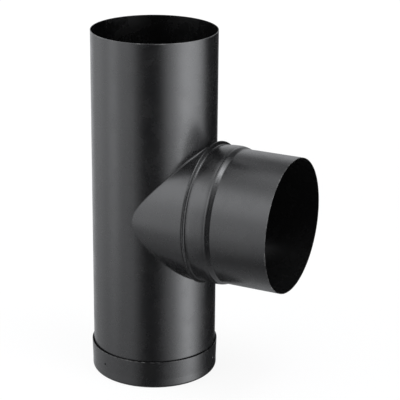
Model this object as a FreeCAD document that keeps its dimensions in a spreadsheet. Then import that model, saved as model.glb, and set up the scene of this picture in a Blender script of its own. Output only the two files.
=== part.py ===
# A black steel stove pipe tee: an upright flue pipe, a side branch that ends in a socket, and a
# push-on cap that closes the foot and comes off for sweeping. Millimetres, +Z up.
# The origin is the middle of the cap's flat base, on the axis of the upright pipe.
# The branch points along +X.

import FreeCAD, Part
import Sketcher
import os
from FreeCAD import Placement, Rotation, Vector

os.makedirs("parts", exist_ok=True)
doc = FreeCAD.newDocument("StovePipeTee")


# Driving sizes, in millimetres and degrees
DRIVING_SIZES = [
    ("sheet", 0.7, "wall of the rolled steel sheet"),
    ("pipe_diameter", 150.0, "upright pipe, outside"),
    ("overall_height", 425.0, "base of the cap to the top rim"),
    ("seam_width", 3.0, "welded lengthwise seam of the upright pipe"),
    ("seam_height", 0.25, "seam, above the pipe's surface"),
    ("branch_height", 212.0, "base of the cap to the branch axis"),
    ("branch_reach", 181.0, "pipe axis to the mouth of the socket"),
    ("collar_inset", 1.8, "collar cone inside the pipe's surface, at the pipe axis"),
    ("collar_angle", 7.45, "flare of the collar, each side"),
    ("flange_offset", 2.5, "crown of the pipe to the collar's turned-out flange"),
    ("flange_width", 1.1, "turned-out flange, beyond the collar's cone"),
    ("weld_radius", 1.5, "fillet weld round the saddle"),
    ("lock_clearance", 0.05, "flange to the fold that grips it"),
    ("fold_gap", 0.3, "free edge of the fold to the collar"),
    ("fold_round", 1.1, "outer corners of the fold"),
    ("fold_flank", 65.0, "slope from the fold down to the band"),
    ("socket_ease", 4.5, "socket bore beyond the pipe's outside, each side"),
    ("band_root", 0.7, "arched band above the socket, next to the fold"),
    ("band_shoulder", 2.4, "shoulder of the band above the socket"),
    ("band_crown", 2.8, "end of the band above the socket, where the step begins"),
    ("shoulder_length", 13.5, "flange to the shoulder of the band"),
    ("band_length", 27.7, "flange to the step down into the socket"),
    ("step_angle", 20.0, "slope of the step into the socket"),
    ("shoulder_radius", 60.0, "inside of the bend at the shoulder of the band"),
    ("crown_radius", 24.0, "inside of the bend from the band into the step"),
    ("bend_radius", 2.5, "inside of the other bends in the branch sleeve"),
    ("cap_sheet", 0.7, "wall of the pressed cap"),
    ("cap_gap", 0.8, "pipe to the skirt of the cap, each side"),
    ("cap_height", 34.5, "cap, base to the edge of its skirt"),
    ("cap_flare", 0.7, "widening of the skirt at its edge, each side"),
    ("cap_flare_length", 23.0, "edge of the skirt to where it starts to widen"),
    ("cap_bend", 2.5, "inside bend between the cap's base and skirt"),
    ("cap_seat", 0.3, "end of the pipe above the cap's inner bend"),
    ("dimple_height", 18.3, "base of the cap to the dimples"),
    ("dimple_angle", 6.0, "first dimple, from the branch side"),
    ("dimple_radius", 2.8, "ball form of a dimple, inner side"),
    ("dimple_grip", 0.1, "tip of a dimple to the pipe"),
]

sheet_cells = doc.addObject("Spreadsheet::Sheet", "Sizes")
for row, (alias, size, note) in enumerate(DRIVING_SIZES, start=1):
    sheet_cells.set("A%d" % row, alias)
    sheet_cells.set("B%d" % row, str(size))
    sheet_cells.set("C%d" % row, note)
    sheet_cells.setAlias("B%d" % row, alias)
doc.recompute()

# Shared places, written once as formulas on the sizes
PIPE_R = "(Sizes.pipe_diameter / 2)"
CAP_BEND_IN = "max(Sizes.cap_bend - Sizes.cap_gap + Sizes.seam_height; 0)"
CAP_BEND_UP = f"(Sizes.cap_bend - sqrt(Sizes.cap_bend ^ 2 - {CAP_BEND_IN} ^ 2))"
PIPE_FOOT = f"(Sizes.cap_sheet + {CAP_BEND_UP} + Sizes.cap_seat)"
CONE_SLOPE = "tan(Sizes.collar_angle * 1deg)"
CONE_ROOT = f"({PIPE_R} - Sizes.collar_inset)"
CONE_WALL = "(Sizes.sheet / cos(Sizes.collar_angle * 1deg))"
FLANGE_AT = f"({PIPE_R} + Sizes.flange_offset)"
CONE_END = f"({CONE_ROOT} + {CONE_SLOPE} * {FLANGE_AT})"
FLANGE_R = f"({CONE_END} + Sizes.flange_width)"
CAP_R = f"({PIPE_R} + Sizes.cap_gap + Sizes.cap_sheet)"


def size_of(formula):
    """Value of a formula on the sheet's sizes."""
    return float(sheet_cells.evalExpression(formula))


def new_body(name):
    body = doc.addObject("PartDesign::Body", name)
    body.Label = name
    return body


def new_sketch(body, name, role, lift=None):
    """Sketch on one of the body's own planes, its origin lifted along the sketch's own +Y."""
    plane = next(item for item in body.Origin.OriginFeatures if item.Role == role)
    sketch = body.newObject("Sketcher::SketchObject", name)
    sketch.AttachmentSupport = (plane, [""])
    sketch.MapMode = "FlatFace"
    if lift:
        sketch.setExpression("AttachmentOffset.Base.y", lift)
        doc.recompute()
    return sketch


def pin_point(sketch, curve, point, across, along):
    """Hold a point of a curve at a pair of formulas, measured from the sketch's origin."""
    for kind, formula, axis in (("DistanceX", across, -2), ("DistanceY", along, -1)):
        if formula == "0":
            sketch.addConstraint(Sketcher.Constraint("PointOnObject", curve, point, axis))
            continue
        held = Sketcher.Constraint(kind, -1, 1, curve, point, size_of(formula))
        index = sketch.addConstraint(held)
        sketch.setExpression("Constraints[%d]" % index, formula)


def outline(sketch, corners):
    """Closed outline of straight lines through corners, each a pair of formulas."""
    points = [Vector(size_of(across), size_of(along), 0) for across, along in corners]
    for start, end in zip(points, points[1:] + points[:1]):
        sketch.addGeometry(Part.LineSegment(start, end), False)
    for index, corner in enumerate(corners):
        before = (index - 1) % len(corners)
        sketch.addConstraint(Sketcher.Constraint("Coincident", before, 2, index, 1))
        pin_point(sketch, index, 1, *corner)


def turn(body, name, sketch, axis, kind="Revolution"):
    """Full turn of a sketch about one of its own axes, added or cut."""
    feature = body.newObject("PartDesign::" + kind, name)
    feature.Profile = sketch
    feature.ReferenceAxis = (sketch, [axis])
    feature.Angle = 360.0
    sketch.Visibility = False
    doc.recompute()
    return feature


def ring_edges(feature, rings):
    """Names of the circular edges about local Z at the given radius and height formulas."""
    names = []
    for radius, height in rings:
        for index, edge in enumerate(feature.Shape.Edges, start=1):
            curve = edge.Curve
            if not isinstance(curve, Part.Circle) or abs(curve.Axis.z) < 0.999:
                continue
            at_radius = abs(curve.Radius - size_of(radius)) < 0.01
            at_height = abs(curve.Center.z - size_of(height)) < 0.01
            if at_radius and at_height:
                names.append("Edge%d" % index)
    return names


def round_rings(body, name, rings, radius):
    """Round the bends at the given rings with one radius formula."""
    base = body.Tip
    fillet = body.newObject("PartDesign::Fillet", name)
    fillet.Base = (base, ring_edges(base, rings))
    fillet.Radius = size_of(radius)
    fillet.setExpression("Radius", radius)
    doc.recompute()
    return fillet


# Upright pipe: rolled from one sheet, butt welded along the back, with a hole for the branch
def make_main_pipe():
    body = new_body("main_pipe")
    ring = new_sketch(body, "PipeRing", "XY_Plane")
    ring.setExpression("AttachmentOffset.Base.z", PIPE_FOOT)
    for index, radius in enumerate((PIPE_R, f"{PIPE_R} - Sizes.sheet")):
        circle = Part.Circle(Vector(0, 0, 0), Vector(0, 0, 1), size_of(radius))
        ring.addGeometry(circle, False)
        ring.addConstraint(Sketcher.Constraint("Coincident", index, 3, -1, 1))
        held = ring.addConstraint(Sketcher.Constraint("Radius", index, size_of(radius)))
        ring.setExpression("Constraints[%d]" % held, radius)
    wall = body.newObject("PartDesign::Pad", "PipeWall")
    wall.Profile = ring
    wall.setExpression("Length", f"Sizes.overall_height - {PIPE_FOOT}")
    doc.recompute()

    # The seam is a low bead: its sides start inside the wall and taper to a narrow top
    bead = new_sketch(body, "SeamBead", "XY_Plane")
    bead.setExpression("AttachmentOffset.Base.z", PIPE_FOOT)
    buried = f"-({PIPE_R} - Sizes.sheet / 2)"
    proud = f"-({PIPE_R} + Sizes.seam_height)"
    outline(bead, [
        (buried, "-Sizes.seam_width / 2"),
        (buried, "Sizes.seam_width / 2"),
        (proud, "Sizes.seam_width / 4"),
        (proud, "-Sizes.seam_width / 4"),
    ])
    seam = body.newObject("PartDesign::Pad", "WeldedSeam")
    seam.Profile = bead
    seam.setExpression("Length", f"Sizes.overall_height - {PIPE_FOOT}")
    doc.recompute()

    # The hole has the collar's inside form, so gas passes with no lip in its way
    cone = new_sketch(body, "BranchCone", "XZ_Plane", lift="Sizes.branch_height")
    reach = f"({PIPE_R} + Sizes.sheet)"
    outline(cone, [
        ("0", "0"),
        ("0", f"{CONE_ROOT} - {CONE_WALL}"),
        (reach, f"{CONE_ROOT} - {CONE_WALL} + {CONE_SLOPE} * {reach}"),
        (reach, "0"),
    ])
    turn(body, "BranchHole", cone, "H_Axis", kind="Groove")
    return body


def branch_placement(item):
    """Stand an item's local Z along the branch."""
    item.Placement = Placement(Vector(0, 0, 0), Rotation(Vector(0, 1, 0), 90))
    item.setExpression("Placement.Base.z", "Sizes.branch_height")


# Saddle collar: a short flared sleeve whose foot follows the pipe and whose far edge is turned
# outward into a narrow flange. Local Z runs along the branch, from the pipe's axis.
def make_collar_sheet():
    body = new_body("collar_sheet")
    section = new_sketch(body, "CollarSection", "XZ_Plane")
    far_face = f"({FLANGE_AT} + Sizes.sheet)"
    inner_end = f"{CONE_ROOT} - {CONE_WALL} + {CONE_SLOPE} * {far_face}"
    outline(section, [
        (CONE_ROOT, "0"),
        (CONE_END, FLANGE_AT),
        (FLANGE_R, FLANGE_AT),
        (FLANGE_R, far_face),
        (inner_end, far_face),
        (f"{CONE_ROOT} - {CONE_WALL}", "0"),
    ])
    turn(body, "CollarWall", section, "V_Axis")

    # The foot is cut to the pipe's round outside
    pipe = new_sketch(body, "PipeOutside", "YZ_Plane")
    pipe.addGeometry(Part.Circle(Vector(0, 0, 0), Vector(0, 0, 1), size_of(PIPE_R)), False)
    pipe.addConstraint(Sketcher.Constraint("Coincident", 0, 3, -1, 1))
    held = pipe.addConstraint(Sketcher.Constraint("Radius", 0, size_of(PIPE_R)))
    pipe.setExpression("Constraints[%d]" % held, PIPE_R)
    foot = body.newObject("PartDesign::Pocket", "SaddleFoot")
    foot.Profile = pipe
    foot.Type = "ThroughAll"
    foot.SideType = "Symmetric"
    doc.recompute()
    branch_placement(body)
    return body


def make_saddle_weld():
    """Fillet weld in the corner between pipe and collar: the corner rounded, less the corner."""
    pipe = doc.addObject("Part::Cylinder", "WeldPipe")
    pipe.setExpression("Radius", PIPE_R)
    pipe.setExpression("Height", f"4 * {PIPE_R}")
    pipe.setExpression("Placement.Base.z", f"Sizes.branch_height - 2 * {PIPE_R}")
    cone = doc.addObject("Part::Cone", "WeldCone")
    cone.setExpression("Radius1", CONE_ROOT)
    cone.setExpression("Radius2", CONE_END)
    cone.setExpression("Height", FLANGE_AT)
    branch_placement(cone)
    corner = doc.addObject("Part::Fuse", "WeldCorner")
    corner.Base = pipe
    corner.Tool = cone
    doc.recompute()

    axis_height = size_of("Sizes.branch_height")
    saddle = []
    for index, edge in enumerate(corner.Shape.Edges, start=1):
        middle = edge.valueAt((edge.FirstParameter + edge.LastParameter) / 2)
        off_pipe = abs(Vector(middle.x, middle.y, 0).Length - size_of(PIPE_R))
        level = abs(middle.z - axis_height) < 1.5 * size_of(PIPE_R)
        if off_pipe < 0.01 and level and middle.x > 1 and not isinstance(edge.Curve, Part.Line):
            saddle.append(index)
    rounded = doc.addObject("Part::Fillet", "WeldRounded")
    rounded.Base = corner
    leg = size_of("Sizes.weld_radius")
    rounded.Edges = [(index, leg, leg) for index in saddle]
    doc.recompute()
    weld = doc.addObject("Part::Cut", "SaddleWeld")
    weld.Base = rounded
    weld.Tool = corner
    doc.recompute()
    return weld


# Branch socket: one rolled sleeve. Its inner end is folded round the collar's flange, then come
# an arched band, a step down and the plain socket that takes the next pipe.
def make_branch_socket():
    body = new_body("branch_socket")
    section = new_sketch(body, "SleeveSection", "XZ_Plane")
    fold_start = f"({FLANGE_AT} - Sizes.lock_clearance - Sizes.sheet)"
    fold_inside = f"({FLANGE_AT} - Sizes.lock_clearance)"
    fold_end = f"({FLANGE_AT} + 2 * Sizes.sheet + Sizes.lock_clearance)"
    fold_edge = f"({CONE_END} + Sizes.fold_gap)"
    crest = f"({FLANGE_R} + Sizes.lock_clearance + Sizes.sheet)"
    socket = f"({PIPE_R} + Sizes.socket_ease + Sizes.sheet)"
    band = f"({socket} + Sizes.band_root)"
    shoulder = f"({socket} + Sizes.band_shoulder)"
    band_end = f"({socket} + Sizes.band_crown)"
    flank_foot = f"({fold_end} + ({crest} - {band}) / tan(Sizes.fold_flank * 1deg))"
    flank_shift = "Sizes.sheet * tan(Sizes.fold_flank / 2 * 1deg)"
    shoulder_at = f"({FLANGE_AT} + Sizes.shoulder_length)"
    step_top = f"({FLANGE_AT} + Sizes.band_length)"
    step_foot = f"({step_top} + ({band_end} - {socket}) / tan(Sizes.step_angle * 1deg))"
    step_shift = "Sizes.sheet * tan(Sizes.step_angle / 2 * 1deg)"
    outline(section, [
        (fold_edge, fold_start),
        (crest, fold_start),
        (crest, fold_end),
        (band, flank_foot),
        (shoulder, shoulder_at),
        (band_end, step_top),
        (socket, step_foot),
        (socket, "Sizes.branch_reach"),
        (f"{socket} - Sizes.sheet", "Sizes.branch_reach"),
        (f"{socket} - Sizes.sheet", f"{step_foot} - {step_shift}"),
        (f"{band_end} - Sizes.sheet", f"{step_top} - {step_shift}"),
        (f"{shoulder} - Sizes.sheet", shoulder_at),
        (f"{band} - Sizes.sheet", f"{flank_foot} - {flank_shift}"),
        (f"{crest} - Sizes.sheet", f"{fold_end} - {flank_shift}"),
        (f"{crest} - Sizes.sheet", fold_inside),
        (fold_edge, fold_inside),
    ])
    turn(body, "SleeveWall", section, "V_Axis")

    # Every bend keeps the sheet's thickness: the outside of a bend is rounder by one sheet
    inside_bends = [
        (band, flank_foot),
        (socket, step_foot),
    ]
    outside_bends = [
        (f"{band} - Sizes.sheet", f"{flank_foot} - {flank_shift}"),
        (f"{socket} - Sizes.sheet", f"{step_foot} - {step_shift}"),
    ]
    shoulder_inside = [(f"{shoulder} - Sizes.sheet", shoulder_at)]
    shoulder_outside = [(shoulder, shoulder_at)]
    crown_inside = [(f"{band_end} - Sizes.sheet", f"{step_top} - {step_shift}")]
    crown_outside = [(band_end, step_top)]
    round_rings(body, "ShoulderInside", shoulder_inside, "Sizes.shoulder_radius")
    round_rings(body, "ShoulderOutside", shoulder_outside, "Sizes.shoulder_radius + Sizes.sheet")
    round_rings(body, "CrownInside", crown_inside, "Sizes.crown_radius")
    round_rings(body, "CrownOutside", crown_outside, "Sizes.crown_radius + Sizes.sheet")
    round_rings(body, "InsideBends", inside_bends, "Sizes.bend_radius")
    round_rings(body, "OutsideBends", outside_bends, "Sizes.bend_radius + Sizes.sheet")
    fold_corners = [(crest, fold_start), (crest, fold_end)]
    round_rings(body, "FoldCorners", fold_corners, "Sizes.fold_round")
    branch_placement(body)
    return body


# End cap: pressed from one disc. The skirt widens slightly towards its edge, so that the cap
# slips over the pipe easily, and three punched dimples lower down grip it.
def make_end_cap():
    body = new_body("end_cap")
    section = new_sketch(body, "CapSection", "XZ_Plane")
    skirt_inside = f"({CAP_R} - Sizes.cap_sheet)"
    flare_start = "(Sizes.cap_height - Sizes.cap_flare_length)"
    outline(section, [
        ("0", "0"),
        (CAP_R, "0"),
        (CAP_R, flare_start),
        (f"{CAP_R} + Sizes.cap_flare", "Sizes.cap_height"),
        (f"{skirt_inside} + Sizes.cap_flare", "Sizes.cap_height"),
        (skirt_inside, flare_start),
        (skirt_inside, "Sizes.cap_sheet"),
        ("0", "Sizes.cap_sheet"),
    ])
    turn(body, "CapWall", section, "V_Axis")
    outside = "Sizes.cap_bend + Sizes.cap_sheet"
    round_rings(body, "BaseInside", [(skirt_inside, "Sizes.cap_sheet")], "Sizes.cap_bend")
    round_rings(body, "BaseOutside", [(CAP_R, "0")], outside)

    # Each dimple is a ball form pushed in through the skirt, hollow from outside
    tip = f"({PIPE_R} + Sizes.dimple_grip)"
    centre = f"({tip} + Sizes.dimple_radius)"
    forms = [
        ("Bump", "Revolution", "Sizes.dimple_radius", f"({CAP_R} - Sizes.cap_sheet / 2)"),
        ("Dent", "Groove", "Sizes.dimple_radius - Sizes.cap_sheet", f"({centre})"),
    ]
    for name, kind, radius, back in forms:
        ball = new_sketch(body, name + "Section", "XZ_Plane", lift="Sizes.dimple_height")
        middle = size_of(centre)
        around = size_of(radius)
        flat = size_of(back)
        rise = max(around ** 2 - (middle - flat) ** 2, 0.0) ** 0.5
        start = Vector(middle - around, 0, 0)
        side = Vector(middle - 0.7 * around, 0.7 * around, 0)
        end = Vector(flat, rise, 0)
        ball.addGeometry(Part.Arc(start, side, end), False)
        ball.addGeometry(Part.LineSegment(end, Vector(flat, 0, 0)), False)
        ball.addGeometry(Part.LineSegment(Vector(flat, 0, 0), start), False)
        low, high = (1, 2) if ball.getPoint(0, 1).y < ball.getPoint(0, 2).y else (2, 1)
        ball.addConstraint(Sketcher.Constraint("Coincident", 0, high, 1, 1))
        ball.addConstraint(Sketcher.Constraint("Coincident", 1, 2, 2, 1))
        ball.addConstraint(Sketcher.Constraint("Coincident", 2, 2, 0, low))
        ball.addConstraint(Sketcher.Constraint("PointOnObject", 0, low, -1))
        ball.addConstraint(Sketcher.Constraint("Vertical", 1))
        held = ball.addConstraint(Sketcher.Constraint("Radius", 0, around))
        ball.setExpression("Constraints[%d]" % held, radius)
        pin_point(ball, 0, 3, centre, "0")
        pin_point(ball, 1, 2, back, "0")
        first = turn(body, name, ball, "H_Axis", kind=kind)
        pattern = body.newObject("PartDesign::PolarPattern", name + "s")
        pattern.Originals = [first]
        upright = next(item for item in body.Origin.OriginFeatures if item.Role == "Z_Axis")
        pattern.Axis = (upright, [""])
        pattern.Angle = 360.0
        pattern.Occurrences = 3
        body.Tip = pattern
        doc.recompute()
    body.Placement = Placement(Vector(0, 0, 0), Rotation(Vector(0, 0, 1), 0))
    body.setExpression("Placement.Rotation.Angle", "Sizes.dimple_angle")
    return body


main_pipe = make_main_pipe()
collar_sheet = make_collar_sheet()
saddle_weld = make_saddle_weld()
saddle_collar = doc.addObject("Part::Fuse", "saddle_collar")
saddle_collar.Label = "saddle_collar"
saddle_collar.Base = collar_sheet
saddle_collar.Tool = saddle_weld
branch_socket = make_branch_socket()
end_cap = make_end_cap()
doc.recompute()

for item in doc.Objects:
    if "Invalid" in item.State or "Error" in item.State:
        raise RuntimeError("%s did not compute: %s" % (item.Name, item.State))

for part in (main_pipe, saddle_collar, branch_socket, end_cap):
    shape = part.Shape
    if shape.isNull() or not shape.isValid():
        raise RuntimeError("%s has no valid shape" % part.Label)
    shape.exportStep("parts/%s.step" % part.Label)
    box = shape.BoundBox
    print("%-14s %2d solid  volume %9.1f  x %.2f..%.2f  y %.2f..%.2f  z %.2f..%.2f" % (
        part.Label, len(shape.Solids), shape.Volume,
        box.XMin, box.XMax, box.YMin, box.YMax, box.ZMin, box.ZMax))
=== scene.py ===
# %% [markdown]
# # A stove pipe tee in satin black paint
# The object is a flue fitting of thin sheet steel: an upright pipe, a flared collar welded
# to its side, a stepped socket folded onto that collar, and a shallow pressed cap that is
# pushed onto the foot of the pipe. All four are painted with the same heat resistant black.
#
# The shapes come ready and exact from the construction model, so there is nothing to model
# again here. What is left is what the eye sees: a camera, a studio, a floor, and four
# finishes made of nodes. On black paint nearly all of the light that is seen is reflection,
# so the lamps matter as much as the paint does.

# %% Load the model
import math
import bpy
import bmesh
from mathutils import Matrix
from mathutils import Vector


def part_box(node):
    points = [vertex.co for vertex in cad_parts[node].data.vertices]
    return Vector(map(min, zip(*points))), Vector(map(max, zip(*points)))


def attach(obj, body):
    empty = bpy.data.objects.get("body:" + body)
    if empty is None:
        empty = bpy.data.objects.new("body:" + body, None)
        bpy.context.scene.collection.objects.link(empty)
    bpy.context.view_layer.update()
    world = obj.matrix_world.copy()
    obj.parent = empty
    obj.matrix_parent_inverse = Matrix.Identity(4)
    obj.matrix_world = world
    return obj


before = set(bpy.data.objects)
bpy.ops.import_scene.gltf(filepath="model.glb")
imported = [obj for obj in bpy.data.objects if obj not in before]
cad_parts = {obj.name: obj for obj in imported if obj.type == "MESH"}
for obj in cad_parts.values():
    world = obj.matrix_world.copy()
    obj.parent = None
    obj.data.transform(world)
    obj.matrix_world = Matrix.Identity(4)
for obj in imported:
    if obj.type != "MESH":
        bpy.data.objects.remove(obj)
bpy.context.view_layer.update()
print("pieces of the model:", sorted(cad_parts))

# %% [markdown]
# ## The sizes that the finishes need
# A finish that follows the shape, such as the ripple of a weld or the dark inside of a pipe,
# has to know where that shape is. Blender works in metres, so these lengths do too. The
# boxes of the pieces give the ends of the pipe, the branch and the cap. The radius of the
# pipe, the thickness of its sheet and the height of the branch's axis are written down.

# %% Name the lengths
pipe_radius = 0.075
sheet = 0.0007
branch_height = 0.212
pipe_low, pipe_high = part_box("main_pipe")
socket_low, socket_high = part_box("branch_socket")
cap_low, cap_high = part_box("end_cap")
rim_height = pipe_high.z
mouth_reach = socket_high.x
cap_rim = cap_high.z
print("the pipe is", round(rim_height - pipe_low.z, 4), "m long")
print("the socket is", round(mouth_reach - socket_low.x, 4), "m long")
print("the cap is", round(cap_rim - cap_low.z, 4), "m tall")

# %% [markdown]
# ## The camera
# The photograph looks a little down on the fitting from its front right. A long lens keeps
# the sides of the pipe nearly parallel, as they are there. A camera can be aimed by a
# constraint that tracks the object, but that loses its small sideways aim and its lean. So
# it is placed by where it stands round the pipe, how far off and how high, and then turned
# by three small angles. All six come from setting its picture against the photograph.

# %% Place the camera
camera_turn = 0.4852
camera_distance = 1.74703
camera_height = 0.83263
aim_sideways = 0.0314
aim_down = 0.3401
aim_roll = 0.0098
stand = Vector((math.sin(camera_turn), -math.cos(camera_turn), 0)) * camera_distance
stand.z = camera_height
lens = bpy.data.cameras.new("photo_camera")
lens.sensor_width = 36
lens.lens = 138.099
lens.clip_end = 50
camera = bpy.data.objects.new("photo_camera", lens)
bpy.context.scene.collection.objects.link(camera)
turn = Matrix.Rotation(camera_turn - aim_sideways, 4, "Z")
tip = Matrix.Rotation(math.pi / 2 - aim_down, 4, "X")
lean = Matrix.Rotation(aim_roll, 4, "Z")
camera.matrix_world = Matrix.Translation(stand) @ turn @ tip @ lean
bpy.context.scene.camera = camera
print("the camera stands at", [round(value, 3) for value in stand])

# %% [markdown]
# ## Helpers for nodes
# A finish is a chain of nodes. It can be joined by hand in the node editor, but a script
# makes the same chain each time, and its pieces can share their parts. Each node is made in
# the same way: it gets a label in plain words, its settings, and for each of its inputs
# either a plain number or the output of another node. Four more helpers make what comes up
# most often: a sum, a smooth fade, a soft noise and a blend of two colours.

# %% Make the helpers
def add_node(tree, kind, label, settings=None, inputs=None):
    """A labelled node whose inputs are numbers or the outputs of other nodes."""
    node = tree.nodes.new(kind)
    node.label = label
    for name, value in (settings or {}).items():
        setattr(node, name, value)
    for name, value in (inputs or {}).items():
        if isinstance(value, bpy.types.NodeSocket):
            tree.links.new(value, node.inputs[name])
        else:
            node.inputs[name].default_value = value
    return node


def work_out(tree, label, operation, *values):
    """The result of one sum of the Math node."""
    inputs = dict(enumerate(values))
    node = add_node(tree, "ShaderNodeMath", label, {"operation": operation}, inputs)
    return node.outputs[0]


def fade(tree, label, value, start, end, low=0.0, high=1.0):
    """Goes smoothly from low to high while the value goes from start to end."""
    settings = {"interpolation_type": "SMOOTHSTEP"}
    inputs = {"Value": value, 1: start, 2: end, 3: low, 4: high}
    return add_node(tree, "ShaderNodeMapRange", label, settings, inputs).outputs[0]


def noise(tree, label, place, scale, detail=2.0, roughness=0.5):
    """A soft random pattern between 0 and 1, with so many lumps in a metre."""
    inputs = {"Vector": place, "Scale": scale, "Detail": detail, "Roughness": roughness}
    return add_node(tree, "ShaderNodeTexNoise", label, None, inputs).outputs[0]


def blend_colours(tree, label, amount, first, second):
    """Goes from the first colour to the second as the amount goes from 0 to 1."""
    settings = {"data_type": "RGBA"}
    inputs = {0: amount, 6: first, 7: second}
    return add_node(tree, "ShaderNodeMix", label, settings, inputs).outputs[2]


print("helpers ready")

# %% [markdown]
# ## The face of a soft lamp
# The face of a real soft box is brightest in its middle and dies away to its edges, and so
# does its mirror image in the paint. An area lamp is evenly bright, and would leave hard
# edges on the pipe. The lamp's own nodes soften it: the two coordinates across the face run
# from 0 to 1, and the light fades with the distance from 0.5 in each.

# %% Make the face of a lamp
half_face = 0.5


def fade_face(lamp):
    """Makes the face of a lamp fade from its middle to its four edges."""
    lamp.use_nodes = True
    tree = lamp.node_tree
    tree.nodes.clear()
    face = add_node(tree, "ShaderNodeNewGeometry", "place on the face").outputs["Parametric"]
    split = add_node(tree, "ShaderNodeSeparateXYZ", "across and up", None, {0: face})
    shares = []
    for side in ("X", "Y"):
        off = work_out(tree, "off the middle", "SUBTRACT", split.outputs[side], half_face)
        off = work_out(tree, "either way", "ABSOLUTE", off)
        shares.append(fade(tree, "fade to the edge", off, 0.0, half_face, 1.0, 0.0))
    share = work_out(tree, "share of the light", "MULTIPLY", shares[0], shares[1])
    glow = add_node(tree, "ShaderNodeEmission", "face", None, {"Strength": share})
    add_node(tree, "ShaderNodeOutputLight", "lamp out", None, {0: glow.outputs[0]})


print("a lamp's face fades over", half_face, "of its width")

# %% [markdown]
# ## The studio
# A round black pipe is a mirror that bends the whole room into upright bands. The photograph
# shows a wide soft band on the right, a fainter one on the left and a dark band between
# them, where the pipe mirrors the unlit side of the camera. A picture of a room could light
# it, but lamps can be named, moved and dimmed one by one. So the studio has large square
# lamps that stand where those bands say, and only faint ones near the camera.
#
# Each lamp is given by four angles in degrees as seen from the pipe: how far it stands to
# the right of the camera, how high, and how wide and how tall it looks. The fifth number is
# how bright the middle of its face is, where 1 looks white. Blender wants the power of the
# whole lamp, which is the brightness times the area times pi. The light is a touch blue.
#
# The camera looks down at the wall of the pipe, so the wall mirrors what is below eye level,
# and some lamps stand lower than the floor, which lets them through. One lamp has one peak,
# so a band that is both wide and peaked takes two: a large lamp makes its breadth and a
# smaller one before it, the core, makes its peak. The lamps called glint are small and high,
# and draw the bright streak on the step of the branch.

# %% Place the lamps
studio_centre = Vector((0.0, 0.0, 0.2))
lamp_distance = 2.4
lamp_colour = (0.955, 0.97, 1.0)


def place_lamp(name, aside, above, wide, tall, brightness):
    """A square soft lamp, its angles in degrees as seen from the pipe."""
    lamp = bpy.data.lights.new(name, "AREA")
    fade_face(lamp)
    lamp.shape = "RECTANGLE"
    lamp.size = 2 * lamp_distance * math.tan(math.radians(wide / 2))
    lamp.size_y = 2 * lamp_distance * math.tan(math.radians(tall / 2))
    lamp.energy = brightness * math.pi * lamp.size * lamp.size_y
    lamp.color = lamp_colour
    round_about = camera_turn + math.radians(aside)
    up = math.radians(above)
    flat = Vector((math.sin(round_about), -math.cos(round_about), 0)) * math.cos(up)
    way = flat + Vector((0, 0, math.sin(up)))
    holder = bpy.data.objects.new(name, lamp)
    bpy.context.scene.collection.objects.link(holder)
    holder.rotation_mode = "QUATERNION"
    holder.rotation_quaternion = way.to_track_quat("Z", "Y")
    holder.location = studio_centre + way * lamp_distance
    holder.visible_camera = False
    return holder


lamps = [
    place_lamp("right_low", 58, -26, 104, 44, 1.27),
    place_lamp("right_level", 58, -10, 104, 40, 2.19),
    place_lamp("right_middle", 58, 8, 100, 44, 1.93),
    place_lamp("right_high", 56, 36, 96, 60, 1.64),
    place_lamp("right_core_low", 58, -27, 48, 26, 1.36),
    place_lamp("right_core_low_side", 72, -30, 44, 30, 1.37),
    place_lamp("right_core_level", 56, -15, 44, 22, 1.43),
    place_lamp("right_core_side", 82, -8, 44, 26, 0.97),
    place_lamp("right_core_middle", 62, 6, 50, 30, 4.19),
    place_lamp("left_low", -80, -34, 112, 50, 0.55),
    place_lamp("left_level", -82, -8, 112, 50, 1.20),
    place_lamp("left_middle", -78, 16, 110, 50, 1.24),
    place_lamp("left_high", -74, 42, 110, 60, 2.40),
    place_lamp("left_core", -77, -12, 40, 40, 0.66),
    place_lamp("left_core_middle", -74, 14, 40, 40, 0.64),
    place_lamp("front_left", -42, 0, 50, 100, 0.62),
    place_lamp("far_left", -132, 5, 80, 110, 0.64),
    place_lamp("back", -170, -5, 80, 100, 0.90),
    place_lamp("back_under", -165, -58, 90, 50, 0.28),
    place_lamp("under", -150, -86, 100, 100, 0.38),
    place_lamp("behind", 165, 25, 60, 60, 0.62),
    place_lamp("top", 0, 89, 70, 70, 2.01),
    place_lamp("top_front", -10, 62, 100, 50, 0.43),
    place_lamp("top_right", 66, 72, 64, 24, 3.20),
    place_lamp("glint_middle", 40, 74, 14, 12, 1.37),
    place_lamp("glint_far", 60, 76, 14, 12, 1.58),
    place_lamp("glint_wide", 60, 67, 28, 14, 6.80),
    place_lamp("glint_low", 40, 65, 14, 12, 1.73),
    place_lamp("glint_side", 85, 69, 14, 12, 1.33),
    place_lamp("behind_high", -160, 50, 44, 30, 1.14),
    place_lamp("behind_left", -138, 62, 36, 24, 0.83),
]
for lamp in lamps:
    print(lamp.name, round(lamp.data.energy, 1), "W")

# %% [markdown]
# ## The floor
# The fitting stands on a plain pale floor that runs on for ever. A real studio bends paper
# up behind the object, but that shows a seam from other sides. A large flat disc has none.
# It casts no shadow and the paint doesn't mirror it, so the lamps below it reach the pipe.
#
# The cap is what stands on the floor, so the floor rides on the cap. When the cap is drawn
# off, it stays on its floor and the pipe is seen above it, as when a sweep lifts the pipe.

# %% Lay the floor
floor_radius = 6.0
floor_mesh = bpy.data.meshes.new("floor")
floor_shape = bmesh.new()
bmesh.ops.create_circle(floor_shape, cap_ends=True, radius=floor_radius, segments=96)
floor_shape.to_mesh(floor_mesh)
floor_shape.free()
floor = bpy.data.objects.new("floor", floor_mesh)
bpy.context.scene.collection.objects.link(floor)
floor.visible_glossy = False
floor.visible_shadow = False
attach(floor, "cap_body")
print("the floor is", 2 * floor_radius, "m across")

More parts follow.
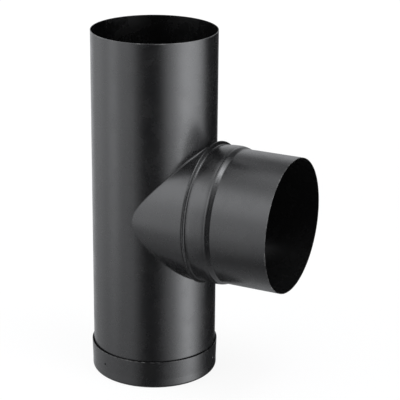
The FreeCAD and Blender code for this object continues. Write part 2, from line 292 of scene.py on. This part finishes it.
# %% [markdown]
# ## The white of the floor
# The photograph has nothing but white round the fitting. Brighter lamps would wash out the
# paint, so the white is the floor's own: where the camera looks at it, most of what it shows
# is a glow, and the rest is matt and takes the soft shadow of the pipe. Far off from the
# pipe it is all glow, and no horizon shows when the camera looks along it.

# %% Paint the floor
floor_grey = (0.8, 0.8, 0.8, 1)
glow_strength = 1.04
glow_near = 0.86
near_end = 0.6
far_start = 1.8
floor_finish = bpy.data.materials.new("floor_white")
floor_finish.use_nodes = True
tree = floor_finish.node_tree
tree.nodes.clear()
matt = add_node(tree, "ShaderNodeBsdfDiffuse", "pale matt floor", None, {"Color": floor_grey})
glow = add_node(tree, "ShaderNodeEmission", "white for the camera", None, {"Strength": glow_strength})
path = add_node(tree, "ShaderNodeLightPath", "kind of ray")
place = add_node(tree, "ShaderNodeTexCoord", "own coordinates").outputs["Object"]
far = add_node(tree, "ShaderNodeVectorMath", "from the middle", {"operation": "LENGTH"}, {0: place})
share = fade(tree, "whiter far off", far.outputs["Value"], near_end, far_start, glow_near, 1.0)
share = work_out(tree, "share of white", "MULTIPLY", path.outputs["Is Camera Ray"], share)
floor_inputs = {0: share, 1: matt.outputs[0], 2: glow.outputs[0]}
both = add_node(tree, "ShaderNodeMixShader", "floor", None, floor_inputs)
add_node(tree, "ShaderNodeOutputMaterial", "floor out", None, {0: both.outputs[0]})
floor.data.materials.append(floor_finish)
print("the floor is all white from", far_start, "m on")

# %% [markdown]
# ## The white of the room
# Past the floor's edge the camera sees the world, and that is plain white. A white world
# would light the paint as well, and the dark front of the pipe would mirror it and turn
# grey. So the world is white only where the camera looks straight at it. For every other
# ray it is dim, and the lamps alone light the fitting.

# %% Light the room
room_white = (1, 1, 1, 1)
room_dimness = 0.01
world = bpy.data.worlds.new("studio")
bpy.context.scene.world = world
world.use_nodes = True
tree = world.node_tree
tree.nodes.clear()
path = add_node(tree, "ShaderNodeLightPath", "kind of ray")
level = fade(tree, "white or dim", path.outputs["Is Camera Ray"], 0.0, 1.0, room_dimness, 1.0)
room_inputs = {"Color": room_white, "Strength": level}
room = add_node(tree, "ShaderNodeBackground", "room", None, room_inputs)
add_node(tree, "ShaderNodeOutputWorld", "room out", None, {0: room.outputs[0]})
bpy.context.scene.view_settings.view_transform = "Standard"
print("the room is", room_dimness, "bright for everything but the camera")

# %% [markdown]
# ## The satin black paint
# Stove paint is sprayed on thin and baked. It is almost black, with a soft sheen, and close
# up it has three kinds of unevenness. The spray leaves a very fine skin like an orange's. The
# colour is a touch browner or greyer in clouds a few centimetres wide. The sheen varies,
# because hands and cartons rub it. All four pieces share this paint, so it is one function,
# and each piece then adds what is its own.
#
# Heights are kept in metres all through, so they can be added up and given to one Bump node
# at a distance of 1. The sheet itself is never quite even either, and very low waves in it
# make the reflections waver as they do on the real pipe.

# %% Start the paint
black = (0.0076, 0.0076, 0.0081, 1)
black_worn = (0.0108, 0.0107, 0.0107, 1)
satin = 0.25
rubbed_smoother = 0.03
rubbed_duller = 0.05
skin_height = 0.0000025
wave_height = 0.00006


def start_paint(name):
    """A material with its coordinates, clouds of colour, sheen and the paint's skin."""
    paint = bpy.data.materials.new(name)
    paint.use_nodes = True
    tree = paint.node_tree
    tree.nodes.clear()
    place = add_node(tree, "ShaderNodeTexCoord", "own coordinates").outputs["Object"]
    clouds = noise(tree, "clouds of colour", place, scale=28.0, detail=4.0, roughness=0.6)
    clouds = fade(tree, "cloud edges", clouds, start=0.35, end=0.75)
    rubbed = noise(tree, "rubbed places", place, scale=45.0, detail=5.0, roughness=0.65)
    skin = noise(tree, "fine skin of the spray", place, scale=900.0)
    skin = work_out(tree, "height of the skin", "MULTIPLY", skin, skin_height)
    waves = noise(tree, "low waves of the sheet", place, scale=9.0, detail=1.0, roughness=0.3)
    smooth = satin - rubbed_smoother
    dull = satin + rubbed_duller
    return {
        "paint": paint,
        "tree": tree,
        "place": place,
        "colour": blend_colours(tree, "paint colour", clouds, black, black_worn),
        "sheen": fade(tree, "sheen", rubbed, start=0.3, end=0.7, low=smooth, high=dull),
        "height": work_out(tree, "skin and waves", "MULTIPLY_ADD", waves, wave_height, skin),
    }


print("satin black at", black[:3], "with a roughness near", satin)

# %% [markdown]
# ## Paint or soot
# The index of refraction says how strongly a finish bends light, and so how much it
# mirrors. A clear varnish has 1.5, and 1.7 suits a baked paint that is full of pigment.
# Soot, dirt and paint that dried dull hardly mirror at all. Where a piece has some of them,
# a second shader of the same colour and relief is mixed in, rough and with little shine.

# %% Finish the paint
bending = 1.7
paint_shine = 0.5
soot_shine = 0.1
soot_roughness = 0.8


def finish_paint(parts):
    """Joins colour, sheen and height in one shader, or two, and closes the material."""
    tree = parts["tree"]
    bump_inputs = {"Strength": 1.0, "Distance": 1.0, "Height": parts["height"]}
    bump = add_node(tree, "ShaderNodeBump", "relief in metres", None, bump_inputs)
    inputs = {
        "Base Color": parts["colour"],
        "Roughness": parts["sheen"],
        "Normal": bump.outputs[0],
        "IOR": bending,
        "Specular IOR Level": paint_shine,
    }
    shader = add_node(tree, "ShaderNodeBsdfPrincipled", "painted steel", None, inputs)
    if "soot" in parts:
        inputs["Roughness"] = soot_roughness
        inputs["Specular IOR Level"] = soot_shine
        soot = add_node(tree, "ShaderNodeBsdfPrincipled", "sooty steel", None, inputs)
        both = {0: parts["soot"], 1: shader.outputs[0], 2: soot.outputs[0]}
        shader = add_node(tree, "ShaderNodeMixShader", "paint or soot", None, both)
    add_node(tree, "ShaderNodeOutputMaterial", "paint out", None, {0: shader.outputs[0]})
    return parts["paint"]


print("the paint's index of refraction is", bending)

# %% [markdown]
# ## Where a point is on the fitting
# The finishes of the pipe and of the weld need to know how far a point is from the pipe's
# upright axis. That is the length of its place once the height is taken off. The beads of
# the weld also need the turn round the branch's level axis.
#
# The collar and the socket have many radii, so no one radius parts their inside from their
# outside, as it does on the pipe. Which way the sheet faces does. Where it faces the
# branch's axis, the dot product of its normal with the way out from the axis is negative.

# %% Measure from the axes
facing_in_start = -0.01
facing_in_full = -0.02


def split_place(parts):
    """The X, Y and Z of a point, each by itself."""
    inputs = {0: parts["place"]}
    return add_node(parts["tree"], "ShaderNodeSeparateXYZ", "x, y and z", None, inputs).outputs


def vector_sum(parts, label, operation, *values):
    """The node for one sum of the Vector Math node."""
    inputs = dict(enumerate(values))
    return add_node(parts["tree"], "ShaderNodeVectorMath", label, {"operation": operation}, inputs)


def from_upright_axis(parts):
    """How far a point is from the pipe's axis, in metres."""
    flat = vector_sum(parts, "without height", "MULTIPLY", parts["place"], (1, 1, 0))
    reach = vector_sum(parts, "from the upright axis", "LENGTH", flat.outputs[0])
    return reach.outputs["Value"]


def turn_round_branch(parts):
    """The turn of a point round the branch's axis, in radians."""
    tree = parts["tree"]
    spot = split_place(parts)
    over = work_out(tree, "above the axis", "SUBTRACT", spot["Z"], branch_height)
    return work_out(tree, "turn round the axis", "ARCTAN2", over, spot["Y"])


def facing_branch_axis(parts):
    """1 on the faces that look in at the branch's axis, 0 on all others."""
    tree = parts["tree"]
    normal = add_node(tree, "ShaderNodeNewGeometry", "which way it faces").outputs["Normal"]
    away = vector_sum(parts, "from the axis", "SUBTRACT", parts["place"], (0, 0, branch_height))
    square = vector_sum(parts, "square to the axis", "MULTIPLY", away.outputs[0], (0, 1, 1))
    turned = vector_sum(parts, "turned outwards", "DOT_PRODUCT", normal, square.outputs[0])
    return fade(tree, "turned inwards", turned.outputs["Value"], facing_in_start, facing_in_full)


print("the branch's axis is", branch_height, "m up")

# %% [markdown]
# ## Dark insides and lighter edges
# The insides are coloured nearly black, which is painted shade for the hollows that the
# lamps hardly reach, and within the branch they are mostly matt. A cut edge is the first to
# lose its paint, and its lighter grey is partly those chips and partly a painted highlight,
# the thin light line that an edge catches. It could be found from how sharply the surface
# bends, but it is known where these edges lie. So a fade over the last millimetre does it,
# broken up by a noise into small chips.

# %% Darken an inside and chip and lighten an edge
painted_shade_black = (0.0015, 0.0015, 0.0015, 1)
soot_share = 0.75
edge_chips_and_highlight = (0.12, 0.118, 0.115, 1)
chips_start = 0.0012
chips_full = 0.0002


def darken_inside(parts, inside, matt_share=0.0):
    """Colours the inside nearly black as painted shade, and makes part of it matt."""
    tree = parts["tree"]
    # painted shade: the colour of the inside goes towards near black
    parts["colour"] = blend_colours(tree, "dark inside", inside, parts["colour"], painted_shade_black)
    if matt_share > 0:
        parts["soot"] = work_out(tree, "share of soot", "MULTIPLY", inside, matt_share)


def chip_and_light_edge(parts, along, edge):
    """Lighter grey near a cut edge: chips of worn paint and a painted highlight along the edge."""
    tree = parts["tree"]
    near = fade(tree, "near the edge", along, edge - chips_start, edge - chips_full)
    chips = noise(tree, "chips", parts["place"], scale=150.0, detail=3.0, roughness=0.6)
    chips = fade(tree, "chip outlines", chips, start=0.42, end=0.72)
    bare = work_out(tree, "chipped edge", "MULTIPLY", chips, near)
    # painted highlight as well as chips: the edge is coloured a lighter grey
    parts["colour"] = blend_colours(tree, "steel through paint", bare, parts["colour"], edge_chips_and_highlight)


print("the chips begin", chips_start * 1000, "mm from the edge")

# %% [markdown]
# ## Lines and ripples
# Rolling and pressing leave very low upright lines on the sheet, and welding leaves close
# ripples. Neither would be worth a mesh, because they are lower than the paint is thick. The
# lines are a noise whose coordinates are squeezed along the height, so that its lumps are
# drawn out upwards. A ripple is the sine of a number that grows along the weld.

# %% Add lines and ripples
ripple_height = 0.00002


def add_height(parts, label, height):
    """Adds one more relief, in metres, to what the material has."""
    parts["height"] = work_out(parts["tree"], label, "ADD", parts["height"], height)


def add_lines(parts, height, squeeze, scale, detail, roughness):
    """Low lines that run up the sheet."""
    tree = parts["tree"]
    mapped = {"Vector": parts["place"], "Scale": (1, 1, squeeze)}
    tall = add_node(tree, "ShaderNodeMapping", "stretched upwards", None, mapped)
    lines = noise(tree, "upright lines", tall.outputs[0], scale, detail, roughness)
    add_height(parts, "with the lines", work_out(tree, "low lines", "MULTIPLY", lines, height))


def add_ripple(parts, rows, where):
    """A close ripple along a weld, and only there."""
    tree = parts["tree"]
    wave = work_out(tree, "ripple", "SINE", rows)
    wave = work_out(tree, "low ripple", "MULTIPLY", wave, ripple_height)
    wave = work_out(tree, "only on the weld", "MULTIPLY", wave, where)
    add_height(parts, "with the ripple", wave)


print("a weld's ripple is", ripple_height * 1000000, "thousandths of a millimetre high")

# %% [markdown]
# ## The upright pipe
# It is rolled from one sheet, and its long seam runs down the back. Rolling leaves low
# upright flats. The seam is a real ridge in the mesh, and the paint only adds the close
# ripple of a welded line where a point is further out than the pipe's wall. The cut rim at
# the top loses a little paint and is coloured a lighter grey that is also a painted
# highlight, and everything within the wall is coloured dark as painted shade.

# %% Paint the upright pipe
flats_height = 0.00001
ripples_up = 4200.0
seam_foot = 0.00005
seam_top = 0.0002


def paint_pipe():
    """Satin black with rolled flats, a rippled back seam, a worn rim with a painted highlight and an
    inside darkened with painted shade.
    """
    parts = start_paint("pipe_satin_black")
    tree = parts["tree"]
    height = split_place(parts)["Z"]
    reach = from_upright_axis(parts)
    add_lines(parts, flats_height, squeeze=0.04, scale=34.0, detail=2.0, roughness=0.4)
    seam = fade(tree, "on the back seam", reach, pipe_radius + seam_foot, pipe_radius + seam_top)
    add_ripple(parts, work_out(tree, "close rows", "MULTIPLY", height, ripples_up), seam)
    chip_and_light_edge(parts, height, rim_height)
    wall_start = pipe_radius - sheet * 0.3
    wall_end = pipe_radius - sheet * 0.7
    darken_inside(parts, fade(tree, "within the wall", reach, wall_start, wall_end))
    return finish_paint(parts)


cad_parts["main_pipe"].material_slots[0].material = paint_pipe()
print("painted the pipe, whose seam ripples", round(ripples_up / math.tau), "times in a metre")

# %% [markdown]
# ## The saddle collar
# The collar is a flared ring that is cut to the round of the pipe and welded to it all the
# way round. A hand weld is a row of small overlapping beads. They follow the seam, so the
# ripple is a wave of the turn round the branch's axis, made a little uneven by a noise, and
# it shows only close to the pipe, where the weld's own ridge is in the mesh.

# %% Paint the saddle collar
weld_edge = 0.0022
weld_middle = 0.0012
ripples_round = 210.0
unevenness = 4.0


def paint_collar():
    """Satin black with the beads of the weld and an inside darkened with painted shade."""
    parts = start_paint("collar_satin_black")
    tree = parts["tree"]
    off_pipe = from_upright_axis(parts)
    weld = fade(tree, "on the weld", off_pipe, pipe_radius + weld_edge, pipe_radius + weld_middle)
    uneven = noise(tree, "uneven beads", parts["place"], scale=120.0)
    uneven = work_out(tree, "unevenly", "MULTIPLY", uneven, unevenness)
    turn = turn_round_branch(parts)
    rows = work_out(tree, "beads round the seam", "MULTIPLY_ADD", turn, ripples_round, uneven)
    add_ripple(parts, rows, weld)
    darken_inside(parts, facing_branch_axis(parts), soot_share)
    return finish_paint(parts)


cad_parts["saddle_collar"].material_slots[0].material = paint_collar()
print("painted the collar, with", ripples_round, "beads round its weld")

# %% [markdown]
# ## The branch socket
# The sleeve is folded over the collar's edge, steps down once and ends in the plain socket
# that the next pipe is pushed into. Wet paint runs down the fold and gathers on its sides
# and underneath, where it dries dull. The top of the fold keeps its shine, and the cut mouth
# is chipped as the pipe's rim is, with the same painted highlight. Its inside is coloured
# dark as painted shade.
#
# In the mesh the step is a straight cone with rounded ends. The real one curves softly out
# and in again, and that draws the light on it into one narrow streak. The two shapes are
# never more than 0.3 mm apart, so the relief adds what is missing: the share of the way down
# the step if it were straight, less the share if it were curved, times the step's drop.

# %% Paint the branch socket
fold_width = 0.0046
fold_edge = 0.001
run_start = 0.055
run_full = 0.035
run_share = 0.5
step_start = 0.1052
step_end = 0.1133
step_drop = 0.0028


def bend_step(parts, along):
    """Turns the straight cone of the step into a soft double curve."""
    tree = parts["tree"]
    gone = work_out(tree, "past the step's start", "SUBTRACT", along, step_start)
    straight = work_out(tree, "straight step", "DIVIDE", gone, step_end - step_start)
    straight.node.use_clamp = True
    curved = fade(tree, "curved step", along, step_start, step_end)
    bent = work_out(tree, "bend of the step", "SUBTRACT", straight, curved)
    bent = work_out(tree, "height of the bend", "MULTIPLY", bent, step_drop)
    add_height(parts, "with the step's bend", bent)


def paint_socket():
    """Satin black with a dull run of paint on the fold, a worn mouth with a painted highlight and an
    inside darkened with painted shade.
    """
    parts = start_paint("socket_satin_black")
    tree = parts["tree"]
    spot = split_place(parts)
    along = spot["X"]
    height = spot["Z"]
    fold_end = socket_low.x + fold_width
    fold = fade(tree, "on the fold", along, fold_end, fold_end - fold_edge)
    below = fade(tree, "below the top", height, branch_height + run_start, branch_height + run_full)
    run = work_out(tree, "run of paint", "MULTIPLY", fold, below)
    bend_step(parts, along)
    chip_and_light_edge(parts, along, mouth_reach)
    darken_inside(parts, facing_branch_axis(parts), soot_share)
    parts["soot"] = work_out(tree, "soot and run", "MULTIPLY_ADD", run, run_share, parts["soot"])
    return finish_paint(parts)


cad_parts["branch_socket"].material_slots[0].material = paint_socket()
print("painted the socket, whose step is", round((step_end - step_start) * 1000, 1), "mm long")

# %% [markdown]
# ## The end cap
# The cap is pressed from a flat disc. Drawing the sheet up into a skirt leaves faint upright
# lines on it, and pushing the cap on and pulling it off leaves it duller than the pipe. The
# three dimples are real dents in the mesh, and hold a little dirt. Three spots of dirt could
# be made one by one, but the dimples are evenly spread round the skirt. So the Ping-Pong
# operation folds the turn round the cap back and forth over half the way between two of
# them, and what is left is the turn from the nearest.

# %% Paint the end cap
press_height = 0.000002
handled_duller = 0.01
dimple_height = 0.0183
dimple_turn = math.radians(6)
half_way = math.radians(60)
dirt_edge = 0.0018
dirt_middle = 0.0008


def from_nearest_dimple(tree, spot):
    """How far a point of the skirt is from the middle of the nearest dimple, in metres."""
    turn = work_out(tree, "turn about the pipe", "ARCTAN2", spot["Y"], spot["X"])
    turn = work_out(tree, "turn from the first dimple", "SUBTRACT", turn, dimple_turn)
    turn = work_out(tree, "turn from the nearest", "PINGPONG", turn, half_way)
    aside = work_out(tree, "beside the dimple", "MULTIPLY", turn, pipe_radius)
    aside = work_out(tree, "square of that", "MULTIPLY", aside, aside)
    over = work_out(tree, "above the dimple", "SUBTRACT", spot["Z"], dimple_height)
    squares = work_out(tree, "squares", "MULTIPLY_ADD", over, over, aside)
    return work_out(tree, "way off", "SQRT", squares)


def paint_cap():
    """Satin black with the lines of the press, dirt in the dimples and a worn rim with a painted
    highlight.
    """
    parts = start_paint("cap_satin_black")
    tree = parts["tree"]
    spot = split_place(parts)
    add_lines(parts, press_height, squeeze=0.05, scale=420.0, detail=3.0, roughness=0.6)
    handled = noise(tree, "handled places", parts["place"], scale=60.0, detail=4.0, roughness=0.6)
    duller = work_out(tree, "duller by", "MULTIPLY", handled, handled_duller)
    parts["sheen"] = work_out(tree, "handled sheen", "ADD", parts["sheen"], duller)
    way_off = from_nearest_dimple(tree, spot)
    parts["soot"] = fade(tree, "dirt in the dimple", way_off, dirt_edge, dirt_middle)
    chip_and_light_edge(parts, spot["Z"], cap_rim)
    return finish_paint(parts)


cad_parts["end_cap"].material_slots[0].material = paint_cap()
print("painted the cap, with dirt in dimples", dimple_height * 1000, "mm up")
